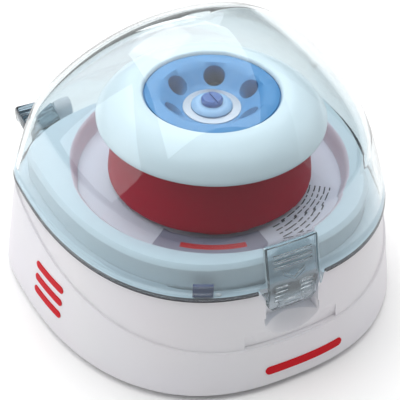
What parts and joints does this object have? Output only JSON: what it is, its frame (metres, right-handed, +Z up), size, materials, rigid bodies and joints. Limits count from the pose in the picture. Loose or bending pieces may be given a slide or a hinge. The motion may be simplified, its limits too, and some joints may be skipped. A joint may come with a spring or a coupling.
{
  "type": "laboratory centrifuge",
  "caption": "Mini benchtop centrifuge with a flared rounded housing, hinged clear dome lid with a front latch tab, and a spinning rotor with angled tube sockets.",
  "frame": {"origin": "centre of the bounding box in plan, on the table plane under the feet", "axes": "+Z up, -Y towards the front with the latch, +X to the right seen from the front; the rotor axis is parallel to Z and 2.4 mm behind the origin"},
  "size_m": [0.1522, 0.1388, 0.1104],
  "materials": {
    "housing_white": "fine satin",
    "cover_grey": "satin",
    "foot_rubber": "matt",
    "steel_zinc": "zinc plated",
    "deck_pale": "satin",
    "window_blue": "gloss",
    "label_film": "satin film",
    "label_dark": "satin film",
    "seal_rubber": "matt",
    "lid_clear": "clear tinted polycarbonate, gloss",
    "tab_clear": "tinted polycarbonate, gloss",
    "pin_steel": "ground",
    "bracket_plastic": "satin",
    "switch_black": "satin",
    "cap_white": "gloss",
    "skirt_red": "semi gloss",
    "insert_blue": "semi gloss",
    "ring_grey": "anodised",
    "hub_blue": "gloss",
    "knob_blue": "gloss",
    "adapter_aluminium": "turned",
    "motor_steel": "drawn",
    "cap_black": "satin",
    "board_green": "solder mask",
    "badge_red": "printed film"
  },
  "bodies": {
    "base": {"base_housing": "housing_white", "bottom_cover": "cover_grey", "rubber_feet": "foot_rubber", "cover_screws": "steel_zinc", "chamber_deck": "deck_pale", "deck_screws": "steel_zinc", "ring_label": "label_film", "label_block": "label_dark", "shaft_seal": "seal_rubber", "lid_seal": "seal_rubber", "latch_catch": "steel_zinc", "interlock_switch": "cap_black", "hinge_bracket_left": "bracket_plastic", "hinge_bracket_right": "bracket_plastic", "hinge_pins": "pin_steel", "motor_can": "motor_steel", "motor_end_cap": "cap_black", "motor_bracket": "steel_zinc", "motor_dampers": "foot_rubber", "motor_screws": "steel_zinc", "control_board": "board_green", "board_standoffs": "bracket_plastic", "board_screws": "steel_zinc", "board_components": "cap_black", "switch_bezel": "switch_black", "dc_inlet": "switch_black", "dc_contact": "adapter_aluminium", "front_badge": "badge_red", "side_badge": "badge_red"},
    "lid": {"lid_dome": "lid_clear", "lid_magnet": "window_blue"},
    "tab": {"latch_tab": "tab_clear"},
    "rotor": {"rotor_cap": "cap_white", "rotor_skirt": "skirt_red", "rotor_insert": "insert_blue", "rotor_floor_ring": "ring_grey", "rotor_hub": "hub_blue", "rotor_knob": "knob_blue", "drive_adapter": "adapter_aluminium", "drive_shaft": "pin_steel"},
    "plunger": {"interlock_plunger": "switch_black"},
    "rocker": {"power_rocker": "switch_black"}
  },
  "joints": [
    {"name": "lid_hinge", "type": "hinge", "parent": "base", "child": "lid", "pos_m": [0, 0.065, 0.0478], "axis": [-1, 0, 0], "range_deg": [0, 80]},
    {"name": "tab_flex", "type": "hinge", "parent": "lid", "child": "tab", "pos_m": [0, -0.0571, 0.0612], "axis": [-1, 0, 0], "range_deg": [0, 4], "stiffness_Nm_per_rad": 2},
    {"name": "rotor_spin", "type": "hinge", "parent": "base", "child": "rotor", "pos_m": [0, 0.0024, 0.06], "axis": [0, 0, 1], "continuous": true},
    {"name": "plunger_press", "type": "slide", "parent": "base", "child": "plunger", "axis": [0, 0, -1], "range_m": [0, 0.0015], "stiffness_N_per_m": 300},
    {"name": "rocker_tip", "type": "hinge", "parent": "base", "child": "rocker", "pos_m": [-0.021, 0.0598, 0.018], "axis": [-1, 0, 0], "range_deg": [0, 16]}
  ]
}
